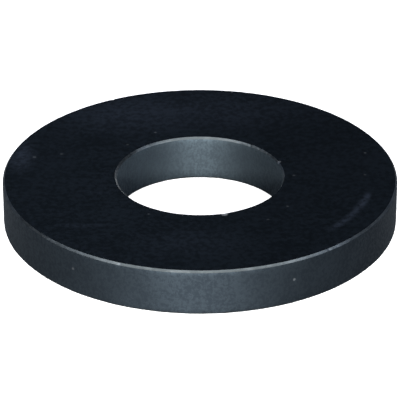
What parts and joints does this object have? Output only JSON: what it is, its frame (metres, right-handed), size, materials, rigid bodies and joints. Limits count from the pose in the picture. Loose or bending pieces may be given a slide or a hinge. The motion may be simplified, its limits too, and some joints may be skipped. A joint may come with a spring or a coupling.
{
  "type": "flat washer",
  "caption": "Thick round flat washer of blackened steel with a plain central bore and lightly broken edges.",
  "frame": {"origin": "centre of the bottom face, on the washer's axis", "axes": "+Z along the washer's axis, from the bottom face to the top face; the ring is the same all round, so X and Y are any two square directions in the bottom face"},
  "size_m": [0.05, 0.05, 0.006],
  "materials": {
    "blackened_steel": "satin"
  },
  "bodies": {
    "root": {"washer_ring": "blackened_steel"}
  },
  "joints": []
}
